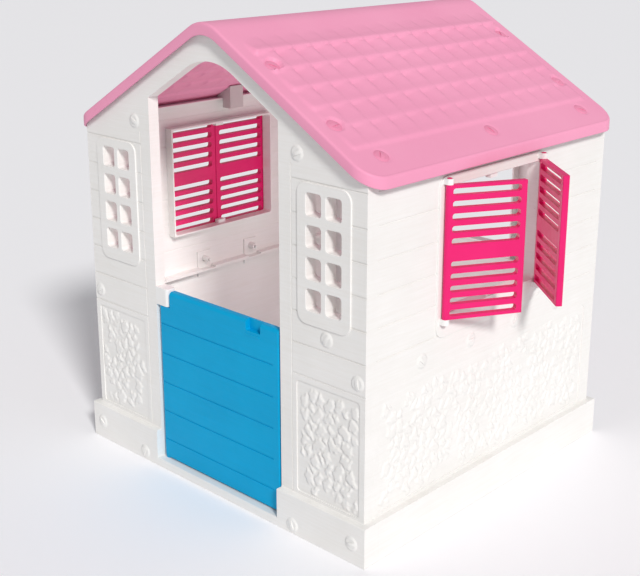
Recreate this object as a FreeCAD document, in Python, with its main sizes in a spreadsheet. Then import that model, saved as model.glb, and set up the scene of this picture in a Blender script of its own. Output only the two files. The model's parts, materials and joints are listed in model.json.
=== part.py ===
"""Plastic garden playhouse: moulded wall panels, gables, a two-piece roof, a half door and louvred shutters.

Millimetres, +Z up. The origin lies on the floor at the middle of the doorway, in the plane of the front
wall's outer face. The front looks along -Y, the house reaches to +Y, and +X is the right-hand side.
"""
import FreeCAD, Part
import math
import os
import re
import Sketcher

SIZES = {
    # the box of walls
    "wall_width": 864, "wall_depth": 838, "panel_depth": 27, "skin": 4.5, "flange": 4,
    "side_top": 799.6, "roof_slope": 0.586,
    # plinth, stone field and planks
    "plinth_height": 88, "plinth_step": 15, "stone_top": 359, "plank_pitch": 67.4,
    "groove_width": 3, "groove_depth": 1.4, "inner_groove": 0.8,
    "stone_margin": 14, "stone_foot": 8, "stone_recess": 2, "stone_corner": 8,
    # doorway and arch
    "doorway_width": 400, "jamb_top": 870, "arch_radius": 140, "band_width": 32, "band_groove": 3,
    "prong_top": 862, "tab_bottom": 793, "tab_width": 39, "tab_thick": 18,
    # small windows beside the door
    "pane_start": 276, "pane_width": 40.5, "pane_bar": 13, "pane_base": 502, "pane_rise": 46,
    "pane_rail": 18.5, "pane_corner": 7, "frame_side": 24, "frame_head": 20, "frame_foot": 29,
    "frame_lip": 3, "frame_corner": 24, "lip_round": 1.4, "rib": 4,
    # side windows and their shutters
    "window_centre": 397, "window_width": 332, "window_base": 470, "window_head": 737,
    "window_border": 18, "window_sill": 51, "window_crown": 22,
    "leaf_width": 173.5, "leaf_gap": 1, "leaf_rise": 280, "leaf_base": 463, "leaf_thick": 14,
    "leaf_clear": 1.5, "leaf_stile": 13, "leaf_rail": 7, "leaf_middle": 34, "slot_rise": 14,
    "slot_corner": 5.5, "leaf_round": 2, "pivot_inset": 7.2, "pivot_radius": 5, "pivot_reach": 13.5,
    "socket_rise": 12, "socket_radius": 8, "running_gap": 0.08, "end_play": 0.3,
    "front_leaf_open": 30, "rear_leaf_open": 49,
    "stop_width": 24, "stop_drop": 9, "stop_depth": 13, "stop_setback": 3,
    # half door
    "door_base": 22, "door_top": 436, "door_thick": 24, "door_setback": 1, "door_hinge_gap": 4,
    "door_latch_gap": 6, "door_skin": 4.5, "door_rib": 4, "door_stile": 26, "door_line": 71.5,
    "door_first_line": 355.5, "door_line_start": 9, "door_line_end": 18, "door_roll": 9,
    "door_edge": 4, "door_pivot": 6, "door_pivot_reach": 14, "notch_floor": 398, "notch_width": 41,
    "grip_start": 96, "grip_width": 44, "grip_drop": 24, "grip_depth": 12, "ledge_rise": 6,
    "ledge_proud": 2, "block_base": 399, "block_top": 440, "block_width": 40, "block_round": 9,
    # sill and back infill
    "sill_top": 19, "tongue_reach": 62, "tongue_top": 34, "tongue_thick": 8,
    "infill_top": 440, "infill_tongue_top": 410,
    # roof
    "eave_overhang": 22, "gable_overhang": 16, "roof_skin": 4.5, "rim_drop": 26, "ridge_radius": 82,
    "corner_spare": 12,
    "eave_inset": 27, "eave_screw_inset": 85, "ridge_screw": 153, "verge_screw": 318,
    "verge_screw_gap": 6, "bracket_half": 22, "bracket_depth": 20, "bracket_drop": 26,
    "bracket_seat": 19, "bracket_inset": 56, "bracket_foot": 24,
    "saddle_flat": 46, "saddle_wing": 30, "saddle_thick": 6, "saddle_half": 20, "saddle_inset": 110,
    # screws and their bosses
    "head_radius": 17, "head_rise": 5, "shank_radius": 3.7, "shank_length": 34, "hole_radius": 4.1,
    "boss_radius": 8, "grip_radius": 12.5, "grip_bar": 7, "grip_sink": 2.4, "grip_turn": 48,
    "recess_radius": 18.5,
    "recess_sink": 1.5, "corner_inset": 20, "corner_screw_top": 384, "corner_screw_low": 44,
    "sill_screw": 246, "sill_screw_rise": 20, "tab_screw_rise": 20, "side_screw_rise": 26,
    "boss_depth": 16, "side_screw_outer": 247, "side_screw_inner": 82, "tab_half": 22, "tab_rise": 46,
    "hook_screw": 330, "hook_screw_height": 452,
}

WORDS = re.compile(r"[a-z][a-z_]*[a-z]")
FUNCTIONS = {"sqrt", "atan", "tan", "cos", "sin"}

doc = FreeCAD.newDocument("playhouse")
sheet = doc.addObject("Spreadsheet::Sheet", "Sizes")
for row, (word, number) in enumerate(SIZES.items(), 1):
    sheet.set(f"A{row}", word)
    sheet.set(f"B{row}", str(number))
    sheet.setAlias(f"B{row}", word)
doc.recompute()

# Derived places, as expressions on the sheet's words.
HALF = "wall_width / 2"
JAMB = "doorway_width / 2"
BAND = f"({JAMB} + band_width)"
TAB = f"({BAND} + tab_width)"
SEAM = "(stone_top + 7 * plank_pitch)"
SLANT = "sqrt(1 + roof_slope ^ 2)"
APEX_UNDER = f"(side_top + roof_slope * {HALF})"
SEAM_END = f"({HALF} - ({SEAM} - side_top) / roof_slope)"
DECK = f"(roof_skin * {SLANT})"
APEX_TOP = f"({APEX_UNDER} + {DECK})"
MIDDLE = "wall_depth / 2"
PLANK_LINES = 7
EAVE_CORNER = "(eave_overhang + gable_overhang + corner_spare)"
SPIGOT = "(panel_depth - plinth_step)"
CORNER_SCREW = f"({HALF} - corner_inset)"
EAVE_SCREW = f"({HALF} - eave_inset)"
SILL_BOSS = "(sill_screw_rise + boss_radius / 4)"
SIDE_SCREWS = [f"({MIDDLE} {sign} side_screw_{row})"
               for sign, row in (("-", "outer"), ("-", "inner"), ("+", "inner"), ("+", "outer"))]


def bind(text):
    """An expression with each sheet word given its sheet's name."""
    return WORDS.sub(lambda m: m.group() if m.group() in FUNCTIONS else "Sizes." + m.group(), str(text))


def value(text):
    """The present value of an expression, in millimetres or degrees."""
    result = sheet.evalExpression(bind(text))
    return float(getattr(result, "Value", result))


def under(x):
    """Height of the roof's underside at a distance x from the ridge, ignoring the rounded ridge."""
    return f"({APEX_UNDER} - roof_slope * ({x}))"


# Outlines: each returns a function that adds its edges to a sketch and returns the constraints they
# need, as pairs of a constraint and the expression that it is bound to, or None.
def polygon(points):
    """A closed outline of straight edges through points given as pairs of expressions."""
    def draw(sketch):
        places = [FreeCAD.Vector(value(x), value(y), 0) for x, y in points]
        first, count = sketch.GeometryCount, len(points)
        edges = [Part.LineSegment(places[i], places[(i + 1) % count]) for i in range(count)]
        sketch.addGeometry(edges, False)
        found = [(Sketcher.Constraint("Coincident", first + i, 2, first + (i + 1) % count, 1), None)
                 for i in range(count)]
        for i, (x, y) in enumerate(points):
            found.append(pin(first + i, 1, "DistanceX", x))
            found.append(pin(first + i, 1, "DistanceY", y))
        return found
    return draw


def box(x0, x1, y0, y1):
    """A rectangle between two pairs of expressions."""
    return polygon([(x0, y0), (x1, y0), (x1, y1), (x0, y1)])


def disc(x, y, radius):
    """A circle."""
    def draw(sketch):
        centre = FreeCAD.Vector(value(x), value(y), 0)
        index = sketch.addGeometry(Part.Circle(centre, FreeCAD.Vector(0, 0, 1), value(radius)), False)
        return [pin(index, 3, "DistanceX", x), pin(index, 3, "DistanceY", y),
                (Sketcher.Constraint("Radius", index, value(radius)), radius)]
    return draw


def rounded(x0, x1, y0, y1, radius):
    """A rectangle with round corners, x0 below x1 and y0 below y1."""
    def draw(sketch):
        a, b, c, d, r = (value(size) for size in (x0, x1, y0, y1, radius))
        flats = [((a + r, c), (b - r, c)), ((b, c + r), (b, d - r)), ((b - r, d), (a + r, d)),
                 ((a, d - r), (a, c + r))]
        turns = [((b - r, c + r), 270), ((b - r, d - r), 0), ((a + r, d - r), 90), ((a + r, c + r), 180)]
        edges = [Part.LineSegment(FreeCAD.Vector(*start, 0), FreeCAD.Vector(*end, 0)) for start, end in flats]
        for centre, angle in turns:
            circle = Part.Circle(FreeCAD.Vector(*centre, 0), FreeCAD.Vector(0, 0, 1), r)
            edges.append(Part.ArcOfCircle(circle, math.radians(angle), math.radians(angle + 90)))
        first = sketch.GeometryCount
        sketch.addGeometry(edges, False)
        found = []
        for i in range(4):
            line, arc, after = first + i, first + 4 + i, first + (i + 1) % 4
            found.append((Sketcher.Constraint("Tangent", line, 2, arc, 1), None))
            found.append((Sketcher.Constraint("Tangent", arc, 2, after, 1), None))
            found.append((Sketcher.Constraint("Vertical" if i % 2 else "Horizontal", line), None))
        found += [(Sketcher.Constraint("Equal", first + 4, first + 4 + i), None) for i in range(1, 4)]
        found.append((Sketcher.Constraint("Radius", first + 4, r), radius))
        found += [pin(first, 1, "DistanceY", y0), pin(first + 1, 1, "DistanceX", x1),
                  pin(first + 2, 1, "DistanceY", y1), pin(first + 3, 1, "DistanceX", x0)]
        return found
    return draw


def pin(index, point, kind, expression):
    """The constraint that holds one coordinate of a point at an expression, from the sketch's origin."""
    return Sketcher.Constraint(kind, -1, 1, index, point, value(expression)), expression


def draw_all(sketch, outlines):
    """Draw outlines into a sketch, with every constraint bound to its expression."""
    found = [pair for draw in outlines for pair in draw(sketch)]
    sketch.addConstraint([constraint for constraint, _ in found])
    for index, (_, expression) in enumerate(found):
        if expression is not None:
            sketch.renameConstraint(index, f"size{index}")
            sketch.setExpression(f"Constraints.size{index}", bind(expression))


class Piece:
    """One sub-part as a PartDesign body: slabs are added and cut between two planes."""

    def __init__(self, label):
        self.body = doc.addObject("PartDesign::Body", label)
        self.body.Label = label

    def sketch(self, plane, offset, outlines):
        """A sketch parallel to an origin plane, at a coordinate along that plane's axis."""
        sketch = self.body.newObject("Sketcher::SketchObject", f"{self.body.Name}_outline")
        origin = next(f for f in self.body.Origin.OriginFeatures if f.Role == plane)
        sketch.AttachmentSupport = [(origin, "")]
        sketch.MapMode = "FlatFace"
        sketch.setExpression("AttachmentOffset.Base.z", bind(offset))
        draw_all(sketch, outlines)
        return sketch

    def slab(self, kind, plane, low, high, outlines):
        """A Pad or Pocket of the outlines between two coordinates."""
        # The XZ plane's normal points along -Y, so there the sketch lies at the high end.
        offset = f"-({high})" if plane == "XZ_Plane" else low
        sketch = self.sketch(plane, offset, outlines)
        feature = self.body.newObject(f"PartDesign::{kind}", f"{self.body.Name}_{kind.lower()}")
        feature.Profile = sketch
        feature.setExpression("Length", bind(f"({high}) - ({low})"))
        feature.Reversed = kind == "Pocket"
        feature.Refine = True
        return feature

    def add(self, plane, low, high, *outlines):
        """Add material between two coordinates."""
        return self.slab("Pad", plane, low, high, outlines)

    def cut(self, plane, low, high, *outlines):
        """Remove material between two coordinates."""
        return self.slab("Pocket", plane, low, high, outlines)

    def round(self, radius, choose):
        """Fillet the edges that choose accepts, given each edge's two ends and its box."""
        doc.recompute()
        tip = self.body.Tip
        names = [f"Edge{i}" for i, edge in enumerate(tip.Shape.Edges, 1) if choose(edge)]
        if not names:
            raise ValueError(f"{self.body.Label}: no edge to round")
        fillet = self.body.newObject("PartDesign::Fillet", f"{self.body.Name}_fillet")
        fillet.Base = (tip, names)
        fillet.setExpression("Radius", bind(radius))
        return fillet

    def turn(self, placement):
        """Place the finished body."""
        self.body.Placement = placement
        return self


def near(a, b):
    """Whether two lengths agree to a hundredth of a millimetre."""
    return abs(a - b) < 0.01


def along(edge, axis):
    """Whether an edge is straight and runs along an axis, 0 for X, 1 for Y, 2 for Z."""
    if edge.Curve.TypeId != "Part::GeomLine":
        return False
    a, b = edge.Vertexes[0].Point, edge.Vertexes[-1].Point
    return all(near(a[i], b[i]) for i in range(3) if i != axis)


def at(edge, axis, expression):
    """Whether the whole edge lies at one coordinate of an axis."""
    limits = edge.BoundBox
    low, high = (limits.XMin, limits.YMin, limits.ZMin)[axis], (limits.XMax, limits.YMax, limits.ZMax)[axis]
    place = value(expression)
    return near(low, place) and near(high, place)


def mirrored(side, x):
    """An X expression on the right (side 1) or left (side -1) of the house."""
    return f"{side} * ({x})"


def across(side, x0, x1):
    """Two X expressions in rising order on either side of the house."""
    return (x0, x1) if side > 0 else (f"-({x1})", f"-({x0})")


def half_turn():
    """The placement that turns a front piece about the house's middle to the back."""
    axis = FreeCAD.Vector(0, value(MIDDLE), 0)
    return FreeCAD.Placement(FreeCAD.Vector(), FreeCAD.Rotation(FreeCAD.Vector(0, 0, 1), 180), axis)


def plank_height(line):
    """Height of a plank line; line 0 is the top of the stone field."""
    return f"(stone_top + {line} * plank_pitch)"


def plank_grooves(low, high, first=0, last=PLANK_LINES):
    """The rectangles of the plank lines between two coordinates."""
    return [box(low, high, f"{plank_height(i)} - groove_width / 2", f"{plank_height(i)} + groove_width / 2")
            for i in range(first, last)]


def front_panel(label, side, hook=False):
    """A wall panel beside the doorway: plinth, stone field, planks and a two by four window."""
    def wide(x0, x1):
        return across(side, x0, x1)

    piece = Piece(label)
    outline = [(HALF, "0"), (JAMB, "0"), (JAMB, "prong_top"), (BAND, "prong_top"), (BAND, "tab_bottom"),
               (TAB, "tab_bottom"), (TAB, SEAM), (SEAM_END, SEAM), (HALF, "side_top")]
    piece.add("XZ_Plane", "0", "panel_depth", polygon([(mirrored(side, x), z) for x, z in outline]))
    piece.add("XY_Plane", "0", "plinth_height",
              box(*wide(JAMB, f"{HALF} + plinth_step"), "-plinth_step", "panel_depth"))
    doc.recompute()
    # the plinth's top edge is softened while the body is still solid
    piece.round("plinth_step / 5", lambda e: at(e, 2, "plinth_height") and e.BoundBox.YMax < value("0.1"))
    piece.cut("XY_Plane", "flange", "plinth_height - flange",
              box(*wide(f"{JAMB} + flange", f"{HALF} + plinth_step - skin"), "skin - plinth_step",
                  "panel_depth"))
    inner = [(f"{HALF} - flange", "plinth_height"), (f"{JAMB} + flange", "plinth_height"),
             (f"{JAMB} + flange", "prong_top - flange"), (f"{BAND} - flange", "prong_top - flange"),
             (f"{BAND} - flange", "tab_bottom - flange"), (f"{TAB} + flange", "tab_bottom - flange"),
             (f"{TAB} + flange", f"{SEAM} - flange"),
             (f"{SEAM_END} - flange", f"{SEAM} - flange"), (f"{HALF} - flange", "side_top - 2 * flange")]
    window = wide("pane_start - rib", f"{pane_side(2)} - pane_bar + rib")
    piece.cut("XZ_Plane", "skin", "panel_depth",
              polygon([(mirrored(side, x), z) for x, z in inner]),
              box(*window, "pane_base - rib", f"{pane_level(4)} - pane_rail + rib"))
    # the tongue behind the gable's tab
    piece.add("XZ_Plane", "tab_thick", "panel_depth",
              box(*wide(f"{BAND} - flange", f"{TAB} + flange"), "tab_bottom - flange", SEAM))
    # a screw through the plinth starts further forward, so its boss ends at the spigot it meets
    bosses = [(CORNER_SCREW, "corner_screw_top", "skin - 1", "panel_depth"),
              (CORNER_SCREW, "corner_screw_low", "skin - plinth_step - 1", SPIGOT),
              ("sill_screw", SILL_BOSS, "skin - plinth_step - 1", SPIGOT)]
    screws = [(CORNER_SCREW, "corner_screw_top"), (CORNER_SCREW, "corner_screw_low"),
              ("sill_screw", "sill_screw_rise"), (f"{BAND} + tab_width / 2", "tab_bottom + tab_screw_rise")]
    if hook:
        bosses.append(("hook_screw", "hook_screw_height", "skin - 1", "panel_depth"))
        screws.append(("hook_screw", "hook_screw_height"))
    for x, z, start, end in bosses:
        piece.add("XZ_Plane", start, end, disc(mirrored(side, x), z, "boss_radius"))
    piece.cut("XZ_Plane", "-2 * plinth_step", "2 * panel_depth",
              *[disc(mirrored(side, x), z, "hole_radius") for x, z in screws])
    lines = plank_grooves(*wide(BAND, HALF))
    band = box(*wide(BAND, f"{BAND} + band_groove"), "plinth_height", "tab_bottom")
    piece.cut("XZ_Plane", "0", "groove_depth", *lines)
    piece.cut("XZ_Plane", "0", "groove_depth", band)
    piece.cut("XZ_Plane", "0", "stone_recess",
              rounded(*wide(f"{BAND} + stone_margin", f"{HALF} - stone_margin"),
                      "plinth_height + stone_foot", "stone_top - stone_margin", "stone_corner"))
    piece.add("XZ_Plane", "-frame_lip", "skin",
              rounded(*wide("pane_start - frame_side", f"{pane_side(2)} - pane_bar + frame_side"),
                      "pane_base - frame_foot", f"{pane_level(4)} - pane_rail + frame_head",
                      "frame_corner"))
    panes = [rounded(*wide(pane_side(i), f"{pane_side(i)} + pane_width"),
                     pane_level(j), f"{pane_level(j)} + pane_rise", "pane_corner")
             for i in range(2) for j in range(4)]
    piece.cut("XZ_Plane", "-frame_lip", "panel_depth", *panes)
    piece.round("lip_round", lambda e: at(e, 1, "-frame_lip"))
    return piece


def pane_side(column):
    """X of the inner edge of a pane column, from the doorway's side."""
    return f"(pane_start + {column} * (pane_width + pane_bar))"


def pane_level(line):
    """Height of the bottom of a pane row."""
    return f"(pane_base + {line} * (pane_rise + pane_rail))"


def gable(label):
    """The arched piece over the doorway, with a tab on each side that laps the panels."""
    piece = Piece(label)
    half = [(JAMB, "prong_top"), (BAND, "prong_top"), (BAND, "tab_bottom"), (TAB, "tab_bottom"),
            (TAB, SEAM), (SEAM_END, SEAM)]
    arch = f"(jamb_top + roof_slope * {JAMB})"
    right = [("0", arch), (JAMB, "jamb_top")] + half + [("0", APEX_UNDER)]
    left = [(f"-({x})", z) for x, z in reversed(half)] + [(f"-({JAMB})", "jamb_top")]
    piece.add("XZ_Plane", "0", "panel_depth", polygon(right + left))
    piece.round("ridge_radius - roof_skin", lambda e: along(e, 1) and at(e, 2, APEX_UNDER))
    piece.round("arch_radius", lambda e: along(e, 1) and at(e, 2, arch))
    wall = f"(flange * {SLANT})"
    crown = f"({APEX_UNDER} - ridge_radius * ({SLANT} - 1) - {wall})"
    foot = f"({SEAM} + flange)"
    reach = f"(({APEX_UNDER} - {wall} - {foot}) / roof_slope)"
    shoulder = f"(({APEX_UNDER} - {wall} - {crown}) / roof_slope)"
    inner = f"({JAMB} + flange)"
    hollow = [(reach, foot), (inner, foot), (inner, f"{arch} + {wall} - roof_slope * {inner}"),
              ("0", f"{arch} + {wall}")]
    hollow_right = [(shoulder, crown)] + hollow
    hollow_left = [(f"-({x})", z) for x, z in reversed(hollow_right[:-1])]
    piece.cut("XZ_Plane", "skin", "panel_depth", polygon(hollow_right + hollow_left))
    for side in (-1, 1):
        piece.cut("XZ_Plane", "tab_thick", "panel_depth",
                  box(*across(side, f"{BAND} - flange", f"{TAB} + flange"), "tab_bottom - flange", SEAM))
    screw = (f"{BAND} + tab_width / 2", "tab_bottom + tab_screw_rise")
    piece.cut("XZ_Plane", "-1", "panel_depth",
              *[disc(mirrored(side, screw[0]), screw[1], "hole_radius") for side in (-1, 1)])
    line = plank_height(8)
    end = f"(({APEX_UNDER} - {line}) / roof_slope)"
    piece.cut("XZ_Plane", "0", "groove_depth",
              *[box(*across(side, BAND, f"{end} - flange"), f"{line} - groove_width / 2",
                    f"{line} + groove_width / 2") for side in (-1, 1)])
    return piece


def side_lower(label, side):
    """The lower side panel: plinth, stone field and tabs that stand up behind the upper panel."""
    piece = Piece(label)
    start, end = "panel_depth", "wall_depth - panel_depth"
    inside = f"{HALF} - panel_depth"
    piece.add("YZ_Plane", *across(side, inside, HALF), box(start, end, "0", "stone_top"))
    piece.add("YZ_Plane", *across(side, inside, f"{HALF} + plinth_step"),
              box(start, end, "0", "plinth_height"))
    piece.cut("YZ_Plane", *across(side, inside, f"{HALF} + plinth_step - skin"),
              box(f"{start} + flange", f"{end} - flange", "flange", "plinth_height - flange"))
    piece.cut("YZ_Plane", *across(side, inside, f"{HALF} - skin"),
              box(f"{start} + flange", f"{end} - flange", "plinth_height", "stone_top - flange"))
    for y in SIDE_SCREWS:
        piece.add("YZ_Plane", *across(side, f"{HALF} - skin - flange", f"{HALF} - skin"),
                  box(f"{y} - tab_half", f"{y} + tab_half", "stone_top - tab_half", "stone_top + tab_rise"))
        piece.add("YZ_Plane", *across(side, inside, f"{HALF} - skin - flange"),
                  disc(y, "stone_top + side_screw_rise", "boss_radius"))
    piece.cut("YZ_Plane", *across(side, inside, f"{HALF} + plinth_step"),
              *[disc(y, "stone_top + side_screw_rise", "hole_radius") for y in SIDE_SCREWS])
    corner_bosses(piece, side, "corner_screw_low", "plinth_step")
    piece.cut("YZ_Plane", *across(side, f"{HALF} - stone_recess", HALF),
              rounded(f"{start} + stone_margin", f"{end} - stone_margin", "plinth_height + stone_foot",
                      "stone_top - stone_margin", "stone_corner"))
    return piece


def corner_bosses(piece, side, height, spigot):
    """Bosses for the corner screws in a side panel's ends, each with a spigot that reaches outwards."""
    place = (mirrored(side, CORNER_SCREW), height)
    for low, high in ((f"panel_depth - {spigot}", "panel_depth + boss_depth"),
                      ("wall_depth - panel_depth - boss_depth", f"wall_depth - panel_depth + {spigot}")):
        piece.add("XZ_Plane", low, high, disc(*place, "boss_radius"))
        piece.cut("XZ_Plane", low, high, disc(*place, "hole_radius"))


def side_upper(label, side):
    """The upper side panel: planks and a framed window opening for a pair of shutters."""
    piece = Piece(label)
    start, end = "panel_depth", "wall_depth - panel_depth"
    inside = f"{HALF} - panel_depth"
    window_start, window_end = "window_centre - window_width / 2", "window_centre + window_width / 2"
    piece.add("YZ_Plane", *across(side, inside, HALF), box(start, end, "stone_top", "side_top"))
    piece.cut("YZ_Plane", *across(side, inside, f"{HALF} - skin"),
              box(f"{start} + flange", f"{end} - flange", "stone_top + flange", "side_top - flange"),
              box(f"{window_start} - rib", f"{window_end} + rib", "window_base - rib", "window_head + rib"))
    # notches in the bottom flange let the lower panel's tabs through
    piece.cut("YZ_Plane", *across(side, inside, f"{HALF} - skin"),
              *[box(f"{y} - tab_half - end_play", f"{y} + tab_half + end_play", "stone_top",
                    "stone_top + flange") for y in SIDE_SCREWS])
    piece.cut("YZ_Plane", *across(side, f"{HALF} - skin", HALF),
              *[disc(y, "stone_top + side_screw_rise", "hole_radius") for y in SIDE_SCREWS])
    corner_bosses(piece, side, "corner_screw_top", "0")
    piece.cut("YZ_Plane", *across(side, f"{HALF} - groove_depth", HALF),
              *plank_grooves(f"{start} + flange", f"{end} - flange", 1))
    lines = plank_grooves(f"{start} + 2 * flange", f"{end} - 2 * flange", 1)
    piece.cut("YZ_Plane", *across(side, f"{HALF} - skin", f"{HALF} - skin + inner_groove"), *lines)
    frame = ("window_base - window_sill", "window_head + window_crown")
    piece.add("YZ_Plane", *across(side, f"{HALF} - skin / 2", f"{HALF} + frame_lip"),
              rounded(f"{window_start} - window_border", f"{window_end} + window_border", *frame,
                      "frame_corner"))
    piece.cut("YZ_Plane", *across(side, inside, f"{HALF} + frame_lip"),
              rounded(window_start, window_end, "window_base", "window_head", "pane_corner"))
    piece.round("lip_round", lambda e: at(e, 0, mirrored(side, f"{HALF} + frame_lip")))
    return piece


def tongues(piece, top):
    """The tongues that reach behind the wall panels from the foot of the doorway."""
    hidden = "panel_depth + tongue_thick"
    piece.add("XZ_Plane", "panel_depth", hidden,
              box(f"-({JAMB} + tongue_reach)", f"{JAMB} + tongue_reach", "0", top))
    screw_spigots(piece)


def screw_spigots(piece):
    """A holed spigot on each tongue that meets the boss of a sill screw inside the panel's plinth."""
    piece.add("XZ_Plane", SPIGOT, "panel_depth",
              *[disc(mirrored(side, "sill_screw"), SILL_BOSS, "boss_radius") for side in (-1, 1)])
    piece.cut("XZ_Plane", "0", "panel_depth + tongue_thick",
              *[disc(mirrored(side, "sill_screw"), "sill_screw_rise", "hole_radius") for side in (-1, 1)])


def door_sill(label):
    """The threshold between the front panels, with the socket of the door's lower pivot."""
    piece = Piece(label)
    piece.add("XZ_Plane", "-plinth_step", "panel_depth", box(f"-({JAMB})", JAMB, "0", "sill_top"))
    piece.round("sill_top / 8", lambda e: along(e, 0) and at(e, 1, "-plinth_step") and at(e, 2, "sill_top"))
    tongues(piece, "tongue_top")
    # the threshold stays low between the jambs
    piece.cut("XZ_Plane", "panel_depth", "panel_depth + tongue_thick",
              box(f"-({JAMB})", JAMB, "sill_top", "tongue_top"))
    piece.cut("XY_Plane", "sill_top - door_pivot_reach", "sill_top", disc(*PIVOT, "door_pivot + running_gap"))
    return piece


def back_infill(label):
    """The half-height panel that closes the foot of the rear opening."""
    piece = Piece(label)
    piece.add("XZ_Plane", "0", "panel_depth", box(f"-({JAMB})", JAMB, "0", "infill_top"))
    piece.add("XZ_Plane", "-plinth_step", "panel_depth", box(f"-({JAMB})", JAMB, "0", "plinth_height"))
    piece.round("plinth_step / 5", lambda e: along(e, 0) and at(e, 1, "-plinth_step")
                and at(e, 2, "plinth_height"))
    piece.cut("XZ_Plane", "skin - plinth_step", "panel_depth",
              box(f"flange - {JAMB}", f"{JAMB} - flange", "flange", "plinth_height - flange"))
    piece.cut("XZ_Plane", "skin", "panel_depth",
              box(f"flange - {JAMB}", f"{JAMB} - flange", "plinth_height", "infill_top - flange"))
    piece.cut("XZ_Plane", "0", "groove_depth",
              *[box(f"flange - {JAMB}", f"{JAMB} - flange", f"{door_line(i)} - groove_width / 2",
                    f"{door_line(i)} + groove_width / 2") for i in range(4)])
    for side in (-1, 1):
        strip = across(side, f"{JAMB} - flange", f"{JAMB} + tongue_reach")
        piece.add("XZ_Plane", "panel_depth", "panel_depth + tongue_thick",
                  box(*strip, "0", "infill_tongue_top"))
    screw_spigots(piece)
    return piece


DOOR_LEFT = f"(door_hinge_gap - {JAMB})"
DOOR_RIGHT = f"({JAMB} - door_latch_gap)"
DOOR_BACK = "(door_setback + door_thick)"
PIVOT = (f"({DOOR_LEFT} + door_thick / 2)", "(door_setback + door_thick / 2)")


def door_line(line):
    """Height of a plank line of the door, counted down from the top one."""
    return f"(door_first_line - {line} * door_line)"


def half_door(label):
    """The half door: a planked face with a rolled top, ribbed behind, on two moulded pivots."""
    piece = Piece(label)
    piece.add("XZ_Plane", "door_setback", DOOR_BACK, box(DOOR_LEFT, DOOR_RIGHT, "door_base", "door_top"))
    piece.cut("XZ_Plane", "door_setback", DOOR_BACK,
              box(DOOR_LEFT, f"{DOOR_LEFT} + notch_width", "notch_floor", "door_top"))
    piece.round("door_thick / 2 - 0.1", lambda e: along(e, 2) and at(e, 0, DOOR_LEFT))
    piece.round("door_roll", lambda e: along(e, 0) and at(e, 2, "door_top"))
    piece.round("door_edge", lambda e: along(e, 2) and at(e, 0, DOOR_RIGHT) or (
        along(e, 0) and at(e, 2, "door_base") and at(e, 1, "door_setback")))
    columns = [(f"{DOOR_LEFT} + door_stile", f"({DOOR_LEFT} + {DOOR_RIGHT}) / 2 - door_rib / 2"),
               (f"({DOOR_LEFT} + {DOOR_RIGHT}) / 2 + door_rib / 2", f"{DOOR_RIGHT} - door_rib")]
    levels = ["door_base"] + [door_line(i) for i in range(4, -1, -1)] + ["notch_floor - door_rib"]
    cells = [box(x0, x1, f"{low} + door_rib", f"{high} - door_rib / 2")
             for x0, x1 in columns for low, high in zip(levels, levels[1:])]
    piece.cut("XZ_Plane", "door_setback + door_skin", DOOR_BACK, *cells)
    piece.cut("XZ_Plane", "door_setback", "door_setback + groove_depth",
              *[box(f"{DOOR_LEFT} + door_line_start", f"{DOOR_RIGHT} - door_line_end",
                    f"{door_line(i)} - groove_width / 2", f"{door_line(i)} + groove_width / 2")
                for i in range(5)])
    piece.cut("XZ_Plane", "door_setback", "door_setback + grip_depth",
              rounded("grip_start", "grip_start + grip_width", "door_top - grip_drop",
                      "door_top + grip_drop", "grip_drop / 6"))
    piece.add("XZ_Plane", "door_setback - ledge_proud / 2", "door_setback + ledge_proud",
              rounded("grip_start - grip_width / 12", "grip_start + 11 * grip_width / 12",
                      "door_top - grip_drop - 2 * ledge_rise", "door_top - grip_drop - ledge_rise",
                      "ledge_rise / 3"))
    piece.add("XY_Plane", "notch_floor - door_rib", "block_base + door_pivot_reach",
              disc(*PIVOT, "door_pivot"))
    piece.add("XY_Plane", "sill_top + end_play", "door_base + door_rib",
              disc(*PIVOT, "door_thick / 2 - 1"))
    piece.add("XY_Plane", "sill_top - door_pivot_reach + end_play", "door_base", disc(*PIVOT, "door_pivot"))
    return piece


def hinge_block(label):
    """The white block on the left jamb that holds the door's upper pivot."""
    piece = Piece(label)
    piece.add("XZ_Plane", "0", "panel_depth",
              box(f"-({JAMB})", f"block_width - {JAMB}", "block_base", "block_top"))
    piece.round("block_round", lambda e: along(e, 2) and at(e, 0, f"block_width - {JAMB}"))
    piece.round("lip_round", lambda e: at(e, 2, "block_top"))
    piece.cut("XY_Plane", "block_base", "block_base + door_pivot_reach + end_play",
              disc(*PIVOT, "door_pivot + running_gap"))
    return piece


LEAF_INNER = f"({HALF} + frame_lip + leaf_clear)"
LEAF_AXIS = f"({LEAF_INNER} + leaf_thick / 2)"


def leaf_edge(row):
    """Y of a leaf's hinge edge: row -1 is the front leaf, row 1 the rear one."""
    return f"(window_centre + {row} * (leaf_width + leaf_gap / 2))"


def leaf_pivot(row):
    """Y of a leaf's pivot axis."""
    return f"({leaf_edge(row)} - {row} * pivot_inset)"


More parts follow.
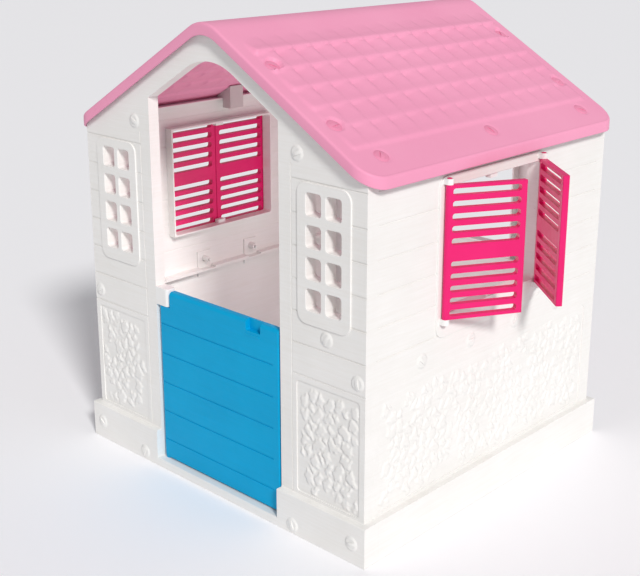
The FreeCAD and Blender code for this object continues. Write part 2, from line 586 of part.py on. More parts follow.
def shutter(label, side, row, opening):
    """A louvred shutter leaf with a pivot at the top and bottom of its hinge stile."""
    piece = Piece(label)

    def inward(distance):
        """Y at a distance from the hinge edge towards the window's middle."""
        return f"({leaf_edge(row)} - {row} * ({distance}))"

    def spread(near_end, far_end):
        """Two such places in rising order."""
        ends = inward(near_end), inward(far_end)
        return ends if row < 0 else ends[::-1]

    face = across(side, LEAF_INNER, f"{LEAF_INNER} + leaf_thick")
    top = "leaf_base + leaf_rise"
    piece.add("YZ_Plane", *face, box(*spread("0", "leaf_width"), "leaf_base", top))
    piece.round("leaf_thick / 2 - 0.2", lambda e: along(e, 2) and at(e, 1, leaf_edge(row)))
    piece.round("leaf_round", lambda e: along(e, 2) and at(e, 1, inward("leaf_width")))
    bar = "(leaf_rise / 2 - leaf_rail - leaf_middle / 2 - 5 * slot_rise) / 4"
    for bottom in ("leaf_base + leaf_rail", "leaf_base + leaf_rise / 2 + leaf_middle / 2"):
        slots = [rounded(*spread("leaf_stile", "leaf_width - leaf_stile"),
                         f"{bottom} + {i} * (slot_rise + {bar})",
                         f"{bottom} + {i} * (slot_rise + {bar}) + slot_rise", "slot_corner")
                 for i in range(5)]
        piece.cut("YZ_Plane", *face, *slots)
    axis = (mirrored(side, LEAF_AXIS), leaf_pivot(row))
    piece.add("XY_Plane", "leaf_base - pivot_reach", f"{top} + pivot_reach", disc(*axis, "pivot_radius"))
    pivot = FreeCAD.Vector(value(axis[0]), value(axis[1]), 0)
    angle = side * row * value(opening)
    turn = FreeCAD.Rotation(FreeCAD.Vector(0, 0, 1), angle)
    return piece.turn(FreeCAD.Placement(FreeCAD.Vector(), turn, pivot))


def solid(kind, label, **sizes):
    """A Part primitive whose sizes and place are bound to expressions."""
    item = doc.addObject(f"Part::{kind}", label)
    for key, expression in sizes.items():
        path = f"Placement.Base.{key}" if key in ("x", "y", "z") else key
        item.setExpression(path, bind(expression))
    return item


def block(label, x, y, z):
    """A Part::Box between pairs of expressions."""
    return solid("Box", label, x=x[0], y=y[0], z=z[0], Length=f"({x[1]}) - ({x[0]})",
                 Width=f"({y[1]}) - ({y[0]})", Height=f"({z[1]}) - ({z[0]})")


def combine(kind, label, items):
    """A Part fusion or compound of items."""
    item = doc.addObject(f"Part::{kind}", label)
    setattr(item, "Links" if kind == "Compound" else "Shapes", items)
    return item


def subtract(label, base, tool):
    """A Part::Cut."""
    item = doc.addObject("Part::Cut", label)
    item.Base, item.Tool = base, tool
    return item


def sockets(label, side):
    """The four lugs on a window frame that hold the shutters' pivots."""
    lugs = []
    for row in (-1, 1):
        axis_x, axis_y = mirrored(side, LEAF_AXIS), leaf_pivot(row)
        for level in ("leaf_base - end_play - socket_rise", "leaf_base + leaf_rise + end_play"):
            body = block(f"{label}_arm", across(side, f"{HALF} + frame_lip", LEAF_AXIS),
                         (f"{axis_y} - socket_radius", f"{axis_y} + socket_radius"),
                         (level, f"{level} + socket_rise"))
            nose = solid("Cylinder", f"{label}_nose", x=axis_x, y=axis_y, z=level,
                         Radius="socket_radius", Height="socket_rise")
            bore = solid("Cylinder", f"{label}_bore", x=axis_x, y=axis_y, z=level,
                         Radius="pivot_radius + running_gap", Height="socket_rise")
            lug = combine("MultiFuse", f"{label}_lug", [body, nose])
            lugs.append(subtract(f"{label}_socket", lug, bore))
    return combine("Compound", label, lugs)


def stops(label, side):
    """The two small stops inside a window opening that the closed shutters rest against."""
    depth = across(side, f"{HALF} + frame_lip - stop_setback - stop_depth",
                   f"{HALF} + frame_lip - stop_setback")
    width = ("window_centre - stop_width / 2", "window_centre + stop_width / 2")
    return combine("Compound", label, [
        block(f"{label}_low", depth, width, ("window_base", "window_base + stop_drop")),
        block(f"{label}_high", depth, width, ("window_head - stop_drop", "window_head"))])


ROOF_FRONT = "(-gable_overhang)"
ROOF_BACK = "(wall_depth + gable_overhang)"
EAVE = f"({HALF} + eave_overhang)"
ROOF_SCREWS = [("ridge_screw", "(panel_depth + verge_screw_gap)"),
               ("verge_screw", "(panel_depth + verge_screw_gap)"),
               (EAVE_SCREW, f"({ROOF_FRONT} + eave_screw_inset)"), (EAVE_SCREW, MIDDLE),
               (EAVE_SCREW, f"({ROOF_BACK} - eave_screw_inset)"),
               ("verge_screw", "(wall_depth - panel_depth - verge_screw_gap)"),
               ("ridge_screw", "(wall_depth - panel_depth - verge_screw_gap)")]


def roof_half(label):
    """The right-hand roof half: a thin sloping deck with a rim round its three free sides."""
    piece = Piece(label)

    def top(x):
        return f"({APEX_TOP} - roof_slope * ({x}))"

    chevron = [("0", APEX_TOP), (EAVE, top(EAVE)), (EAVE, f"{top(EAVE)} - rim_drop"),
               ("0", f"{APEX_TOP} - rim_drop"), (f"-({EAVE})", f"{top(EAVE)} - rim_drop"),
               (f"-({EAVE})", top(EAVE))]
    piece.add("XZ_Plane", ROOF_FRONT, ROOF_BACK, polygon(chevron))
    piece.round("ridge_radius", lambda e: along(e, 1) and at(e, 2, APEX_TOP))
    piece.round("ridge_radius - rim_drop", lambda e: along(e, 1) and at(e, 2, f"{APEX_TOP} - rim_drop"))
    piece.cut("XZ_Plane", ROOF_FRONT, ROOF_BACK, box(f"-2 * {EAVE}", "0", "0", f"2 * {APEX_TOP}"))
    beyond = [f"{sign}2 * {limit}" for limit in (EAVE, ROOF_BACK) for sign in ("-", "")]
    piece.cut("XY_Plane", "0", f"2 * {APEX_TOP}", box(*beyond),
              rounded(f"-{EAVE}", EAVE, ROOF_FRONT, ROOF_BACK, EAVE_CORNER))
    shell(piece, "roof_skin")
    slope_holes(piece)
    return piece


def shell(piece, thickness):
    """Hollow the roof half from below and from the ridge, leaving a skin and its rims."""
    doc.recompute()
    tip = piece.body.Tip
    limit = value(f"{APEX_TOP} - rim_drop")
    slope = value("roof_slope")
    open_faces = []
    for i, face in enumerate(tip.Shape.Faces, 1):
        box_, centre = face.BoundBox, face.CenterOfMass
        ridge = near(box_.XMin, 0) and near(box_.XMax, 0)
        below = centre.z < limit - slope * centre.x + 2 and box_.XLength > 5 and box_.YLength > value(EAVE)
        if ridge or below:
            open_faces.append(f"Face{i}")
    hollow = piece.body.newObject("PartDesign::Thickness", f"{piece.body.Name}_hollow")
    hollow.Base = (tip, open_faces)
    hollow.setExpression("Value", bind(thickness))
    hollow.Reversed = True
    hollow.Mode = 0
    hollow.Join = 0
    return hollow


def slope_holes(piece):
    """Sinks and holes for the roof screws, square to the slope."""
    for radius, kind in (("recess_radius", "sink"), ("hole_radius", "hole")):
        draw = [disc(f"{x} * {SLANT}", y, radius) for x, y in ROOF_SCREWS]
        sketch = piece.body.newObject("Sketcher::SketchObject", f"{piece.body.Name}_{kind}")
        origin = next(f for f in piece.body.Origin.OriginFeatures if f.Role == "XY_Plane")
        sketch.AttachmentSupport = [(origin, "")]
        sketch.MapMode = "FlatFace"
        sketch.AttachmentOffset = FreeCAD.Placement(FreeCAD.Vector(), FreeCAD.Rotation(
            FreeCAD.Vector(0, 1, 0), value("atan(roof_slope)")))
        sketch.setExpression("AttachmentOffset.Rotation.Angle", bind("atan(roof_slope)"))
        sketch.setExpression("AttachmentOffset.Base.z", bind(APEX_TOP))
        draw_all(sketch, draw)
        feature = piece.body.newObject("PartDesign::Pocket", f"{piece.body.Name}_{kind}_pocket")
        feature.Profile = sketch
        feature.setExpression("Length", bind("recess_sink" if kind == "sink" else "2 * roof_skin"))


def roof_saddles(label):
    """Three saddles under the ridge that join the roof halves."""
    wing, low = "(saddle_flat + saddle_wing)", "saddle_thick"
    outline = [(f"-{wing}", under(wing)), ("-saddle_flat", under("saddle_flat")),
               ("saddle_flat", under("saddle_flat")), (wing, under(wing)),
               (wing, f"{under(wing)} - {low}"), ("saddle_flat", f"{under('saddle_flat')} - {low}"),
               ("-saddle_flat", f"{under('saddle_flat')} - {low}"), (f"-{wing}", f"{under(wing)} - {low}")]
    saddles = []
    for y in ("saddle_inset", MIDDLE, "wall_depth - saddle_inset"):
        saddles.append(prism(f"{label}_one", outline, f"{y} - saddle_half", f"{y} + saddle_half"))
    return combine("Compound", label, saddles)


def prism(label, outline, low, high):
    """An upright outline in X and Z carried along Y, as a Part::Extrusion of a sketch."""
    sketch = doc.addObject("Sketcher::SketchObject", f"{label}_outline")
    sketch.Placement = FreeCAD.Placement(FreeCAD.Vector(), FreeCAD.Rotation(FreeCAD.Vector(1, 0, 0), 90))
    sketch.setExpression("Placement.Base.y", bind(high))
    draw_all(sketch, [polygon(outline)])
    item = doc.addObject("Part::Extrusion", label)
    item.Base = sketch
    item.DirMode = "Custom"
    item.Dir = FreeCAD.Vector(0, -1, 0)
    item.setExpression("LengthFwd", bind(f"({high}) - ({low})"))
    item.Solid = True
    return item


def screw_hole(label, side, x, y):
    """The hole that a roof screw needs in the bracket below it, square to the slope."""
    hole = solid("Cylinder", label, Radius="hole_radius", Height="2 * shank_length")
    axis = FreeCAD.Vector(0, side, 0)
    hole.Placement = FreeCAD.Placement(FreeCAD.Vector(), FreeCAD.Rotation(axis, value("atan(roof_slope)")))
    depth = "(shank_length + recess_sink + end_play)"
    centre = f"{side} * ({x} - {depth} * roof_slope / {SLANT})"
    for key, expression in (("x", centre), ("y", y),
                            ("z", f"{APEX_TOP} - roof_slope * ({x}) - {depth} / {SLANT}")):
        hole.setExpression(f"Placement.Base.{key}", bind(expression))
    return hole


def eave_brackets(label, side):
    """Brackets that seat on a side panel's top edge and take the eave screws."""
    inner, seat = f"({HALF} - bracket_inset)", f"({HALF} - panel_depth)"
    outer = f"({seat} + bracket_seat)"
    outline = [(inner, "side_top - bracket_foot"), (seat, "side_top - bracket_foot"), (seat, "side_top"),
               (outer, "side_top"), (outer, under(outer)), (inner, under(inner))]
    brackets = []
    for x, y in ROOF_SCREWS:
        if x != EAVE_SCREW:
            continue
        body = prism(f"{label}_body", [(mirrored(side, a), b) for a, b in outline],
                     f"{y} - bracket_half", f"{y} + bracket_half")
        brackets.append(subtract(f"{label}_one", body, screw_hole(f"{label}_hole", side, x, y)))
    return combine("Compound", label, brackets)


def gable_brackets(label, back):
    """Brackets behind a gable's top edge that take the ridge and verge screws."""
    brackets = []
    for side in (-1, 1):
        for x, y in (ROOF_SCREWS[-2:] if back else ROOF_SCREWS[:2]):
            low, high = f"({x} - bracket_half)", f"({x} + bracket_half)"
            outline = [(low, under(low)), (high, under(high)), (high, f"{under(high)} - bracket_drop"),
                       (low, f"{under(low)} - bracket_drop")]
            start = "panel_depth"
            if back:
                start = "wall_depth - panel_depth - bracket_depth"
            body = prism(f"{label}_body", [(mirrored(side, a), b) for a, b in outline],
                         start, f"{start} + bracket_depth")
            brackets.append(subtract(f"{label}_one", body, screw_hole(f"{label}_hole", side, x, y)))
    return combine("Compound", label, brackets)


def screw_form():
    """The one screw of the house: a domed head with a grip bar between two hollows, and a shank."""
    ball = "((head_radius ^ 2 + head_rise ^ 2) / (2 * head_rise))"
    dome = doc.addObject("Part::Common", "screw_dome")
    dome.Base = solid("Sphere", "screw_ball", z=f"head_rise - {ball}", Radius=ball)
    dome.Tool = solid("Cylinder", "screw_rim", Radius="head_radius", Height="head_rise")
    shank = solid("Cylinder", "screw_shank", z="-shank_length", Radius="shank_radius",
                  Height="shank_length + head_rise / 4")
    bowl = solid("Cylinder", "screw_bowl", z="head_rise - grip_sink", Radius="grip_radius",
                 Height="head_rise")
    bar = block("screw_bar", ("-head_radius", "head_radius"), ("-grip_bar / 2", "grip_bar / 2"),
                ("0", "2 * head_rise"))
    hollows = subtract("screw_hollows", bowl, bar)
    return subtract("screw", combine("MultiFuse", "screw_solid", [dome, shank]), hollows)


def place(point, normal, turn):
    """The placement of a screw whose head stands at a point along a normal, its grip bar turned."""
    tilt = FreeCAD.Rotation(FreeCAD.Vector(0, 0, 1), FreeCAD.Vector(*normal))
    spin = FreeCAD.Rotation(FreeCAD.Vector(0, 0, 1), turn)
    return FreeCAD.Placement(FreeCAD.Vector(*[value(p) for p in point]), tilt.multiply(spin))


def screw_set(label, form, places):
    """A set of like screws in one node."""
    item = doc.addObject("Part::Feature", label)
    copies = []
    for i, (point, normal) in enumerate(places):
        copy = form.Shape.copy()
        copy.Placement = place(point, normal, value("grip_turn") * (i + 1))
        copies.append(copy)
    item.Shape = Part.makeCompound(copies)
    return item


def wall_screws(back):
    """Places of the screws in the front or back wall."""
    tab_screw = (f"({BAND} + tab_width / 2)", "0", "(tab_bottom + tab_screw_rise)")
    places = [(CORNER_SCREW, "0", "corner_screw_top"),
              (CORNER_SCREW, "(-plinth_step)", "corner_screw_low"),
              ("sill_screw", "(-plinth_step)", "sill_screw_rise"), tab_screw]
    found = []
    for x, y, z in places:
        for side in (-1, 1):
            face = f"wall_depth - {y}" if back else y
            found.append(((mirrored(side, x), face, z), (0, 1 if back else -1, 0)))
    return found


def build():
    """Make every sub-part; returns them by their labels."""
    parts = {}

    def keep(item, label):
        parts[label] = item
        return item

    for side, word in ((-1, "left"), (1, "right")):
        keep(front_panel(f"front_panel_{word}", side, hook=side > 0), f"front_panel_{word}")
        keep(front_panel(f"back_panel_{word}", -side).turn(half_turn()), f"back_panel_{word}")
        keep(side_lower(f"side_lower_{word}", side), f"side_lower_{word}")
        keep(side_upper(f"side_upper_{word}", side), f"side_upper_{word}")
        keep(sockets(f"shutter_sockets_{word}", side), f"shutter_sockets_{word}")
        keep(stops(f"shutter_stops_{word}", side), f"shutter_stops_{word}")
        keep(eave_brackets(f"eave_brackets_{word}", side), f"eave_brackets_{word}")
        for row, end in ((-1, "front"), (1, "rear")):
            opening = f"{end}_leaf_open" if side > 0 else "0"
            keep(shutter(f"shutter_{word}_{end}", side, row, opening), f"shutter_{word}_{end}")
    keep(roof_half("roof_right"), "roof_right")
    keep(roof_half("roof_left").turn(half_turn()), "roof_left")
    keep(gable("front_gable"), "front_gable")
    keep(gable("back_gable").turn(half_turn()), "back_gable")
    keep(door_sill("door_sill"), "door_sill")
    keep(back_infill("back_infill").turn(half_turn()), "back_infill")
    keep(half_door("half_door"), "half_door")
    keep(hinge_block("door_hinge_block"), "door_hinge_block")
    keep(roof_saddles("roof_saddles"), "roof_saddles")
    keep(gable_brackets("gable_brackets_front", False), "gable_brackets_front")
    keep(gable_brackets("gable_brackets_back", True), "gable_brackets_back")

    form = screw_form()
    doc.recompute()
    keep(screw_set("front_screws", form, wall_screws(False)), "front_screws")
    keep(screw_set("back_screws", form, wall_screws(True)), "back_screws")
    hook_place = (("hook_screw", "0", "hook_screw_height"), (0, -1, 0))
    keep(screw_set("hook_screw", form, [hook_place]), "hook_screw")
    slope = (value(f"roof_slope / {SLANT}"), value(f"1 / {SLANT}"))
    for side, word in ((-1, "left"), (1, "right")):
        height = "stone_top + side_screw_rise"
        keep(screw_set(f"side_screws_{word}", form,
                       [((mirrored(side, HALF), y, height), (side, 0, 0)) for y in SIDE_SCREWS]),
             f"side_screws_{word}")
        sunk = [(f"({x} - recess_sink * roof_slope / {SLANT})", y,
                 f"({APEX_TOP} - roof_slope * ({x}) - recess_sink / {SLANT})") for x, y in ROOF_SCREWS]
        keep(screw_set(f"roof_screws_{word}", form,
                       [((mirrored(side, x), y, z), (side * slope[0], 0, slope[1])) for x, y, z in sunk]),
             f"roof_screws_{word}")
    return parts


def check(parts):
    """Stop on a failed object, an empty or invalid shape, or a pocket that cut nothing."""
    for item in doc.Objects:
        if {"Invalid", "Error"} & set(item.State):
            raise RuntimeError(f"{item.Label} failed: {item.State}")
        if item.TypeId == "PartDesign::Pocket" and item.BaseFeature is not None:
            if item.Shape.Volume > item.BaseFeature.Shape.Volume - 1:
                raise RuntimeError(f"{item.Label} cuts nothing")
    for label, item in parts.items():
        shape = shape_of(item)
        if shape.isNull() or not shape.isValid() or not shape.Solids:
            raise RuntimeError(f"{label} has no valid shape")


def shape_of(item):
    """The shape of a Piece's body or of a plain object."""
    return item.body.Shape if isinstance(item, Piece) else item.Shape


made = build()
doc.recompute()
check(made)
os.makedirs("parts", exist_ok=True)
for label, item in made.items():
    shape_of(item).exportStep(f"parts/{label}.step")
    print(label, len(shape_of(item).Solids), round(shape_of(item).Volume / 1000, 1), "cm3")
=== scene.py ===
"""A moulded plastic playhouse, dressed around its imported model.

The wall panels, door and shutters are softened copies of the model's own pieces. The gables and small
fittings are those pieces themselves with a finish. The roof halves are rebuilt with their lapped tiles,
and the foot of each wall gets its field of stones. Sizes are in metres.
"""
import json
import logging
import math
from dataclasses import dataclass, field
from enum import Enum
from itertools import pairwise, product

import bmesh
import bpy
import numpy as np
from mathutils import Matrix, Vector

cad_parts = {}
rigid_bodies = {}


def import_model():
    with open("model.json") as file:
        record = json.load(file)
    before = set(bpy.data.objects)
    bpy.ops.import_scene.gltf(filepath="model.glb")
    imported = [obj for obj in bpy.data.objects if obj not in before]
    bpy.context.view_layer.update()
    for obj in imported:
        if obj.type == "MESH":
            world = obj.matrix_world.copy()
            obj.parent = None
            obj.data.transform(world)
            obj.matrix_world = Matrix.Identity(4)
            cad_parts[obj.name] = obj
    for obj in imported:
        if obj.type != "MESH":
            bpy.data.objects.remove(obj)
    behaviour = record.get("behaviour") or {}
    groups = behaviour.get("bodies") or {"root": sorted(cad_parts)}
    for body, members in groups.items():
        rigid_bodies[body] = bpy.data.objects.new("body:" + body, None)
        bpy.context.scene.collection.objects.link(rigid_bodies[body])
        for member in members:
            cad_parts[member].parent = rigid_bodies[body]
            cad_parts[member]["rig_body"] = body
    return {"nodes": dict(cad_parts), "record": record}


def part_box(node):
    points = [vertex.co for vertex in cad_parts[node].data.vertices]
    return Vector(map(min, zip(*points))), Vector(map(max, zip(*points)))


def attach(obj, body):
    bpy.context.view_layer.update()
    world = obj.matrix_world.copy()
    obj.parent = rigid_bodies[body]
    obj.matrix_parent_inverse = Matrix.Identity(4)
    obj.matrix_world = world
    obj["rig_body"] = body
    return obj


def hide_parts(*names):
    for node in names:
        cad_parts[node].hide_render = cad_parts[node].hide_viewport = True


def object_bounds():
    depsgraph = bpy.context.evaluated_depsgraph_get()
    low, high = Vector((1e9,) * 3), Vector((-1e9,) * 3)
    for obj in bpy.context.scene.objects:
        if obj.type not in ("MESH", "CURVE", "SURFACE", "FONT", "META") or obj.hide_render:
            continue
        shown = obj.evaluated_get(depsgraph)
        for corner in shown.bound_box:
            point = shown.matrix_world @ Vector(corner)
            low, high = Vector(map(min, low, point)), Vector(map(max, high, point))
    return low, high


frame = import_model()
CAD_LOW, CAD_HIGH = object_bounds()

LOG = logging.getLogger("playhouse")
MM = 0.001
HOUSE = "house"


class Slot(Enum):
    """The record's material slots."""

    WALL = "wall"
    FITTING = "fitting"
    ROOF = "roof_shell"
    ROOF_SCREW = "roof_screw"
    SHUTTER = "shutter"
    DOOR = "door"
    WALL_SCREW = "wall_screw"
    BRACKET = "bracket"


class Side(Enum):
    """The right or left of the house, with the sign of X there."""

    RIGHT = 1
    LEFT = -1


class Facing(Enum):
    """The way a wall's outer face looks: the axis along the wall, the axis out of it and its sign."""

    FRONT = (0, 1, -1)
    BACK = (0, 1, 1)
    RIGHT = (1, 0, 1)
    LEFT = (1, 0, -1)


def smooth_step(value: np.ndarray) -> np.ndarray:
    """Ease from 0 to 1: three times the square less twice the cube, after holding value in 0 to 1."""
    held = np.clip(value, 0.0, 1.0)
    return held * held * (3.0 - 2.0 * held)


class Graph:
    """A material's node tree, with a short call for each node that the finishes use."""

    def __init__(self, name: str) -> None:
        """Start a material with a Principled shader.

        Args:
            name: the material's name.
        """
        self.material = bpy.data.materials.new(name)
        self.material.use_nodes = True
        self.tree = self.material.node_tree
        self.shader = self.tree.nodes["Principled BSDF"]

    def node(self, kind: str, **values: object) -> bpy.types.Node:
        """Add a node and set its properties and its unlinked sockets.

        Args:
            kind: the node's type.
            values: property names, or socket names with underscores for spaces.

        Returns:
            The new node.
        """
        made = self.tree.nodes.new(kind)
        for key, given in values.items():
            socket = made.inputs.get(key.replace("_", " "))
            if socket is not None:
                socket.default_value = given
            else:
                setattr(made, key, given)
        return made

    def join(self, source: bpy.types.NodeSocket, target: bpy.types.NodeSocket) -> None:
        """Link one socket to another."""
        self.tree.links.new(source, target)

    def stretched(self, scale: tuple[float, float, float]) -> bpy.types.NodeSocket:
        """Object coordinates scaled along each axis.

        Args:
            scale: how many pattern units a metre holds along X, Y and Z.

        Returns:
            The vector socket.
        """
        place = self.node("ShaderNodeTexCoord")
        mapping = self.node("ShaderNodeMapping", Scale=scale)
        self.join(place.outputs["Object"], mapping.inputs["Vector"])
        return mapping.outputs["Vector"]

    def noise(self, scale: tuple[float, float, float], detail: float, distortion: float = 0.0
              ) -> bpy.types.NodeSocket:
        """A noise over stretched object coordinates.

        Args:
            scale: the stretch of the coordinates.
            detail: how many octaves.
            distortion: how far the noise bends itself.

        Returns:
            The noise's value socket.
        """
        made = self.node("ShaderNodeTexNoise", Scale=1.0, Detail=detail, Distortion=distortion)
        self.join(self.stretched(scale), made.inputs["Vector"])
        return made.outputs["Fac"]

    def bump(self, height: bpy.types.NodeSocket, distance: float,
             under: bpy.types.NodeSocket | None = None) -> bpy.types.NodeSocket:
        """A bump from a height, laid on an earlier one.

        Args:
            height: the height's socket, 0 to 1.
            distance: what a height of 1 stands for, in metres.
            under: the normal socket of an earlier bump.

        Returns:
            The normal socket.
        """
        made = self.node("ShaderNodeBump", Strength=1.0, Distance=distance)
        self.join(height, made.inputs["Height"])
        if under is not None:
            self.join(under, made.inputs["Normal"])
        return made.outputs["Normal"]

    def ranged(self, value: bpy.types.NodeSocket, low: float, high: float) -> bpy.types.NodeSocket:
        """The middle part of a noise spread between two numbers.

        Args:
            value: the noise.
            low: the result where the noise is low.
            high: the result where the noise is high.

        Returns:
            The result socket.
        """
        made = self.node("ShaderNodeMapRange", From_Min=0.3, From_Max=0.7, To_Min=low, To_Max=high)
        self.join(value, made.inputs["Value"])
        return made.outputs["Result"]


@dataclass(frozen=True)
class MouldedPlastic:
    """Moulded polyethylene: a mottled colour, a fine mould grain and, on planks, a pressed wood grain."""

    name: str
    colour: tuple[float, float, float]
    shade: tuple[float, float, float]
    roughness: tuple[float, float] = (0.42, 0.55)
    pit_depth: float = 0.05 * MM
    wood_depth: float = 0.0
    mottle: float = 7.0
    gloss: float = 0.3
    pit_scale: float = 900.0
    polish_scale: float = 60.0
    wood_stretch: tuple[float, float, float] = (9.0, 9.0, 190.0)
    wood_bend: float = 0.7
    wood_tint: tuple[float, float, float] = (0.965, 0.955, 0.94)
    wood_strength: float = 0.8

    def material(self) -> bpy.types.Material:
        """Build the material.

        Returns:
            The finished material.
        """
        graph = Graph(self.name)
        blend = graph.node("ShaderNodeMix", data_type="RGBA")
        blend.inputs["A"].default_value = (*self.shade, 1.0)
        blend.inputs["B"].default_value = (*self.colour, 1.0)
        cloudy = graph.noise((self.mottle,) * 3, 3.0)
        graph.join(graph.ranged(cloudy, 0.0, 1.0), blend.inputs["Factor"])
        colour = blend.outputs["Result"]
        normal = graph.bump(graph.noise((self.pit_scale,) * 3, 2.0), self.pit_depth)
        if self.wood_depth > 0.0:
            grain = graph.noise(self.wood_stretch, 4.0, self.wood_bend)
            normal = graph.bump(grain, self.wood_depth, normal)
            tinted = graph.node("ShaderNodeMix", data_type="RGBA", blend_type="MULTIPLY")
            tinted.inputs["B"].default_value = (*self.wood_tint, 1.0)
            graph.join(graph.ranged(grain, self.wood_strength, 0.0), tinted.inputs["Factor"])
            graph.join(colour, tinted.inputs["A"])
            colour = tinted.outputs["Result"]
        graph.join(colour, graph.shader.inputs["Base Color"])
        graph.join(graph.ranged(graph.noise((self.polish_scale,) * 3, 2.0), *self.roughness),
                   graph.shader.inputs["Roughness"])
        graph.join(normal, graph.shader.inputs["Normal"])
        graph.shader.inputs["Specular IOR Level"].default_value = self.gloss
        return graph.material


@dataclass
class Palette:
    """Every finish of the house, by the slot that it fills."""

    finishes: dict[Slot, MouldedPlastic] = field(default_factory=lambda: {
        Slot.WALL: MouldedPlastic("warm_white_planks", (0.87, 0.86, 0.845), (0.83, 0.82, 0.80),
                                  wood_depth=0.22 * MM),
        Slot.FITTING: MouldedPlastic("plain_white", (0.88, 0.88, 0.87), (0.84, 0.83, 0.82)),
        Slot.ROOF: MouldedPlastic("tile_pink", (0.87, 0.35, 0.52), (0.84, 0.32, 0.49),
                                  roughness=(0.45, 0.58), mottle=4.0),
        Slot.ROOF_SCREW: MouldedPlastic("screw_pink", (0.80, 0.29, 0.44), (0.76, 0.25, 0.40)),
        Slot.SHUTTER: MouldedPlastic("shutter_magenta", (0.80, 0.012, 0.165), (0.74, 0.008, 0.14),
                                     roughness=(0.34, 0.44)),
        Slot.DOOR: MouldedPlastic("door_blue", (0.0, 0.39, 0.71), (0.0, 0.355, 0.66),
                                  roughness=(0.36, 0.48), wood_depth=0.16 * MM, gloss=0.12),
        Slot.WALL_SCREW: MouldedPlastic("screw_white", (0.84, 0.83, 0.81), (0.79, 0.78, 0.76)),
        Slot.BRACKET: MouldedPlastic("bracket_grey", (0.62, 0.6, 0.58), (0.56, 0.54, 0.52)),
    })
    made: dict[Slot, bpy.types.Material] = field(default_factory=dict)

    def build(self) -> None:
        """Build each finish once."""
        self.made = {slot: finish.material() for slot, finish in self.finishes.items()}

    def dress(self, piece: bpy.types.Object, slot: Slot) -> None:
        """Give a piece one finish on all its faces.

        Args:
            piece: the object to dress.
            slot: the finish.
        """
        piece.data.materials.clear()
        piece.data.materials.append(self.made[slot])
        piece.data.polygons.foreach_set("material_index", np.zeros(len(piece.data.polygons), np.int32))


def new_piece(name: str, points: np.ndarray, faces: list[list[int]], smooth_angle: float
              ) -> bpy.types.Object:
    """Make a closed mesh object with its faces pointing outwards.

    Args:
        name: the piece's name.
        points: one row of X, Y, Z for each vertex.
        faces: vertex numbers of each face.
        smooth_angle: edges sharper than this many degrees stay sharp.

    Returns:
        The linked object.
    """
    mesh = bpy.data.meshes.new(name)
    mesh.from_pydata(points.tolist(), [], faces)
    shell = bmesh.new()
    shell.from_mesh(mesh)
    bmesh.ops.recalc_face_normals(shell, faces=shell.faces)
    shell.to_mesh(mesh)
    shell.free()
    mesh.polygons.foreach_set("use_smooth", np.ones(len(mesh.polygons), bool))
    mesh.set_sharp_from_angle(angle=math.radians(smooth_angle))
    piece = bpy.data.objects.new(name, mesh)
    bpy.context.scene.collection.objects.link(piece)
    return piece


def grid_faces(rows: int, columns: int, first: int = 0) -> list[list[int]]:
    """The quads of a grid whose vertices are numbered row by row.

    Args:
        rows: how many rows of vertices.
        columns: how many vertices a row has.
        first: the number of the first vertex.

    Returns:
        Four vertex numbers for each quad.
    """
    row, column = np.meshgrid(np.arange(rows - 1), np.arange(columns - 1), indexing="ij")
    corner = first + (row * columns + column).ravel()
    return np.stack([corner, corner + 1, corner + columns + 1, corner + columns], axis=1).tolist()


